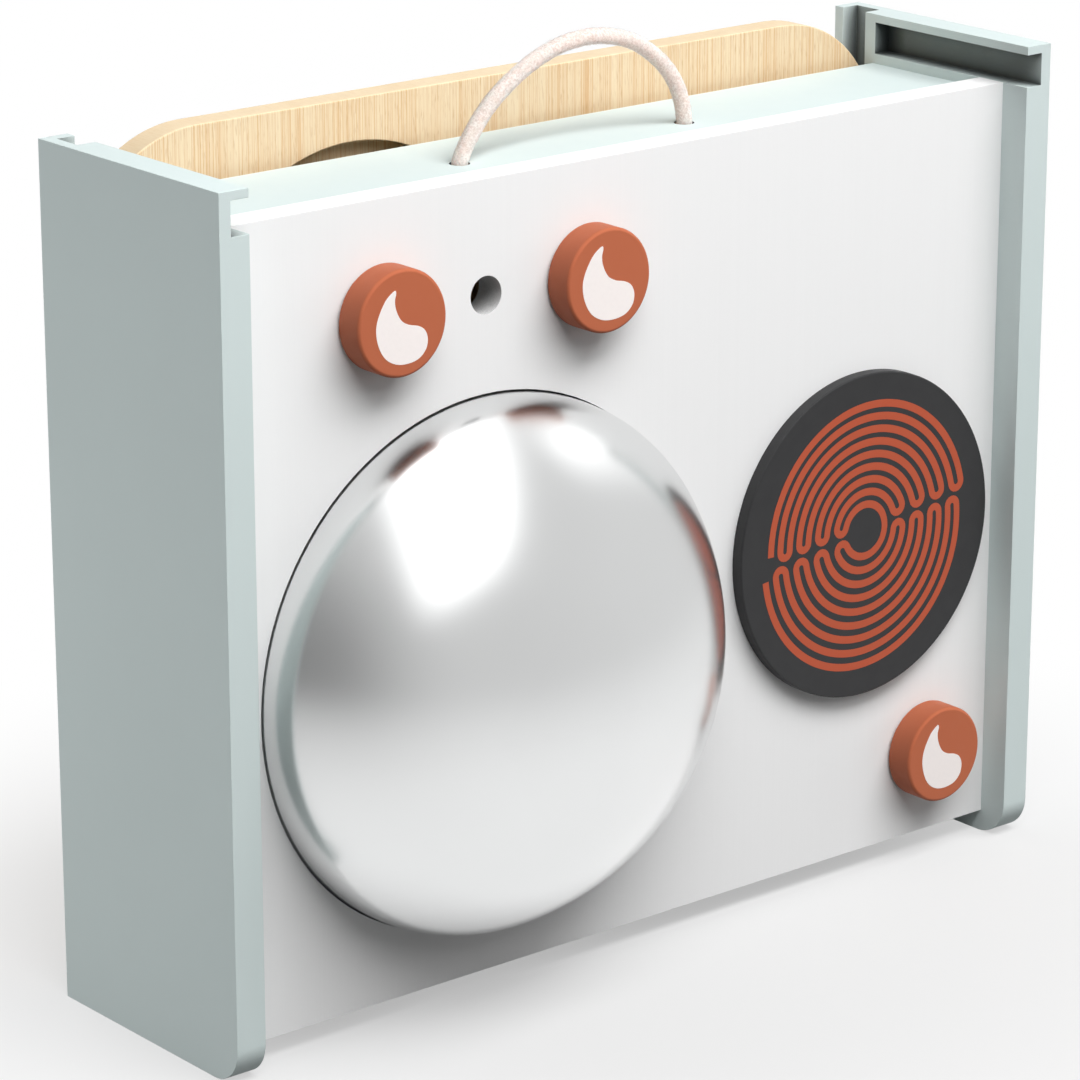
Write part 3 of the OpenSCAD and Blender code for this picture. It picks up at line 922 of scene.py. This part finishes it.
def hair(frames):
    """One loose hair that starts in the rope, runs along it and ends a little way off it."""
    start = random.randrange(HAIR_MARGIN, len(frames) - HAIR_MARGIN)
    turn = random.uniform(0, 2 * math.pi)
    lean = random.gauss(0, HAIR_LEAN)
    length = random.uniform(*HAIR_LENGTH) * MM
    lift = random.uniform(0, HAIR_LIFT) * MM * random.choice(HAIR_LIFT_TIMES)
    strand = []
    for k in range(HAIR_STEPS):
        share = k / (HAIR_STEPS - 1)
        i = start + round(length * share * math.cos(lean) / ROPE_STEP)
        point, along, across, side = frames[min(max(i, 0), len(frames) - 1)]
        angle = turn + length * share * math.sin(lean) / ROPE_R
        out = math.cos(angle) * across + math.sin(angle) * side
        height = ROPE_R * HAIR_ROOT + lift * math.sin(HAIR_ARCH * share)
        strand.append(point + out * height + along * length * share * HAIR_DRIFT)
    return tube(strand, lambda i, angle: HAIR_R, HAIR_SIDES)


def make_rope(material):
    path = rope_path()
    mesh = joined("cotton_handle", [tube(path, woolly(ROPE_R), ROPE_SIDES)])
    rope = add_object("cotton_handle", mesh, material, "case", ["rope_handle"])
    frames = cross_frames(path)
    hairs = joined("cotton_hairs", [hair(frames) for _ in range(ROPE_HAIRS)])
    add_object("cotton_hairs", hairs, material, "case")
    make_knots(material)


def knot_loop(centre):
    """A tight trefoil, one step longer than its full turn so that its ends overlap."""
    loop = []
    for i in range(KNOT_STEPS + 2):
        t = 2 * math.pi * i / KNOT_STEPS
        x = KNOT_LOOP * (math.sin(t) + 2 * math.sin(2 * t))
        y = KNOT_LOOP * (math.cos(t) - 2 * math.cos(2 * t))
        loop.append(centre + Vector((x, y, -KNOT_RISE * math.sin(3 * t))))
    return loop


def make_knots(material):
    """Overhand knots under the top panel, each with its cut end hanging below."""
    low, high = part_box("rope_knots")
    shapes = []
    for x, _ in (ROPE_ARCH[0], ROPE_ARCH[-1]):
        top = Vector((x * MM, middle("rope_handle").y, high.z))
        centre = top - Vector((0, 0, KNOT_R + KNOT_RISE))
        end = Vector((top.x, top.y, low.z))
        tail = [top + (end - top) * i / TAIL_STEPS for i in range(TAIL_STEPS + 1)]
        shapes.append(tube(knot_loop(centre), woolly(KNOT_R), KNOT_SIDES))
        shapes.append(tube(tail, woolly(TAIL_R), KNOT_SIDES))
    mesh = joined("cotton_knots", shapes)
    add_object("cotton_knots", mesh, material, "case", ["rope_knots"])


# Carried-over nodes

def dress(nodes, material):
    """Gives CAD nodes that stay as they are their finish."""
    for node in nodes:
        for slot in frame["nodes"][node].material_slots:
            slot.material = material


def make_small_parts(wood):
    """Felts, screws, washers, dowels and spindles keep the shapes of their solids."""
    dress([body + "_felt" for body in KNOBS], felt())
    dress(["hob_screws"] + [body + part for body in KNOBS for part in ("_washer", "_screw")], zinc_plate())
    dress(["panel_dowels"] + [body + "_spindle" for body in KNOBS], wood)


# Studio

FLOOR_SIZE = 40
# The floor's colour for the light it throws back, as it is mirrored and as it is seen
FLOOR_BOUNCE = srgb(110, 110, 110)
FLOOR_MIRRORED = srgb(224, 224, 224)
FLOOR_SEEN = srgb(197, 197, 197)
# Share of plain white in it beside the object and further off, and the distances between which it changes
FLOOR_GLOW = (0.45, 1)
FLOOR_FADE = (0.1, 0.38)
# Distance at which the mirrored floor is halfway between white and the room's level
FLOOR_REACH = 0.62
# Softboxes: strength, and corners as (azimuth from the front towards +X, elevation) in degrees
LOW_BOX = (1.4, [(45, 0), (90, 0), (90, 25), (45, 25)])
ROOF_BOX = (1.5, [(-35.5, 27), (3, 41), (116, 56), (-174, 69)])
STRIP_BOX = (0.9, [(74, 42), (88, 52), (116, 24), (102, 13)])
# How softly they end, and the level of the room round them as a light
BOX_EDGE = 0.16
SKY_DIM = 0.03
# Levels of the mirrored room from the left over the front to the right
ROOM_LEVELS = [(0, 0.26), (0.05, 0.34), (0.12, 0.5), (0.25, 0.66), (0.5, 0.7), (0.75, 0.74), (1, 0.76)]
LAMP_TARGET = Vector((0, 0.03, 0.15))
# Lamps: place, width and height in metres, power in watts
LAMPS = {
    "key_lamp": ((0.1, -0.97, 1.89), (2.6, 0.8), 61),
    "front_lamp": ((0, -1.6, 1.5), (2.0, 0.7), 9),
    "left_lamp": ((-0.9, 0.3, 0.15), (0.6, 0.28), 2.4),
    "right_lamp": ((0.9, 0.3, 0.15), (0.6, 0.28), 2.6),
    "back_lamp": ((0, 0.95, 0.15), (0.6, 0.28), 5.4),
}


def direction(azimuth, elevation):
    """A direction from its azimuth, from the front towards +X, and its elevation in degrees."""
    turn, rise = math.radians(azimuth), math.radians(elevation)
    return Vector((math.cos(rise) * math.sin(turn), -math.cos(rise) * math.cos(turn), math.sin(rise)))


def floor_paint():
    """White that keeps the object's shadow; the light it throws back on the object is weak."""
    finish = Finish("floor", roughness=1.0, base_color=FLOOR_BOUNCE)
    finish.gleam(0)
    glow = finish.node("ShaderNodeEmission")
    distance = finish.node("ShaderNodeVectorMath", operation="LENGTH")
    finish.link(finish.place, distance.inputs[0])
    share = finish.spread(distance.outputs["Value"], *FLOOR_GLOW, *FLOOR_FADE, "SMOOTHSTEP")
    # Mirrored, the floor fades from white beside the object to the room's level far off
    room = finish.room_level(finish.place)
    steps = finish.math("DIVIDE", distance.outputs["Value"], FLOOR_REACH)
    near = finish.math("DIVIDE", 1, finish.math("ADD", finish.math("POWER", steps, 2), 1))
    dimmed = finish.math("ADD", room, finish.math("MULTIPLY", finish.math("SUBTRACT", 1, room), near))
    straight = finish.node("ShaderNodeLightPath").outputs["Is Camera Ray"]
    finish.link(finish.math("MAXIMUM", straight, dimmed), glow.inputs["Strength"])
    lit = finish.blend(straight, finish.diffuse(FLOOR_MIRRORED), finish.diffuse(FLOOR_SEEN))
    pale = finish.blend(share, lit, glow.outputs["Emission"])
    surface = finish.blend(finish.shown(), finish.shader.outputs["BSDF"], pale)
    finish.link(surface, finish.tree.nodes["Material Output"].inputs["Surface"])
    return finish.material


def make_floor():
    half = FLOOR_SIZE / 2
    corners = [(-half, -half, 0), (half, -half, 0), (half, half, 0), (-half, half, 0)]
    floor = add_object("floor", mesh_from("floor", corners, [[0, 1, 2, 3]]), floor_paint())


class Sky(Nodes):
    """The world's nodes, with ways to add patches of light to it."""

    def __init__(self, world):
        world.use_nodes = True
        super().__init__(world.node_tree)
        self.tree.nodes.clear()
        self.view = self.node("ShaderNodeTexCoord").outputs["Generated"]

    def toward(self, aim):
        """How far the view looks along a direction, from -1 to 1."""
        made = self.node("ShaderNodeVectorMath", operation="DOT_PRODUCT")
        self.link(self.view, made.inputs[0])
        made.inputs[1].default_value = aim.normalized()
        return made.outputs["Value"]

    def softbox(self, strength, corners):
        """A soft-edged patch of light with straight sides between its corners."""
        aims = [direction(*corner) for corner in corners]
        centre = sum(aims, Vector())
        light = strength
        for first, second in zip(aims, aims[1:] + aims[:1]):
            inward = first.cross(second)
            if inward.dot(centre) < 0:
                inward = -inward
            inside = self.spread(self.toward(inward), 0, 1, -BOX_EDGE, BOX_EDGE, "SMOOTHSTEP")
            light = self.math("MULTIPLY", inside, light)
        return light

    def background(self, strength):
        """White light of that strength."""
        made = self.node("ShaderNodeBackground")
        made.inputs["Color"].default_value = (1, 1, 1, 1)
        self.give(strength, made.inputs["Strength"])
        return made.outputs["Background"]

    def total(self, lights):
        """The sum of several lights."""
        level = lights[0]
        for light in lights[1:]:
            level = self.math("ADD", level, light)
        return level


def make_world():
    """A dim room with a low softbox; mirrored it is grey with two softboxes, seen directly it is white."""
    world = bpy.data.worlds.new("studio")
    bpy.context.scene.world = world
    sky = Sky(world)
    lit = sky.background(sky.total([sky.softbox(*LOW_BOX), SKY_DIM]))
    boxes = [sky.softbox(*ROOF_BOX), sky.softbox(*STRIP_BOX)]
    mirrored = sky.background(sky.total([*boxes, sky.room_level(sky.view)]))
    rays = sky.node("ShaderNodeLightPath").outputs
    surface = sky.blend(rays["Is Camera Ray"], sky.blend(sky.mirrored(), lit, mirrored), sky.background(1))
    sky.link(surface, sky.node("ShaderNodeOutputWorld").inputs["Surface"])


def make_lamp(name, place, size, power):
    """A soft lamp aimed at the middle of the object and not seen itself."""
    data = bpy.data.lights.new(name, "AREA")
    data.shape = "RECTANGLE"
    data.size, data.size_y = size
    data.energy = power
    lamp = bpy.data.objects.new(name, data)
    lamp.location = place
    lamp.rotation_euler = (LAMP_TARGET - lamp.location).to_track_quat("-Z", "Y").to_euler()
    lamp.visible_camera = False
    lamp.visible_glossy = False
    bpy.context.scene.collection.objects.link(lamp)


def make_lamps():
    """A wide key from above, a front fill, and low lamps for the sides and the back."""
    for name, settings in LAMPS.items():
        make_lamp(name, *settings)


bpy.context.scene.view_settings.view_transform = "Standard"
random.seed(SEED)
make_camera()
mint_paint = painted("mint_paint", MINT)
bare_maple = maple()
make_rope(cotton())
make_boards(mint_paint, bare_maple)
make_bowl()
make_hob()
make_coil()
make_knobs()
make_small_parts(bare_maple)
make_floor()
make_world()
make_lamps()
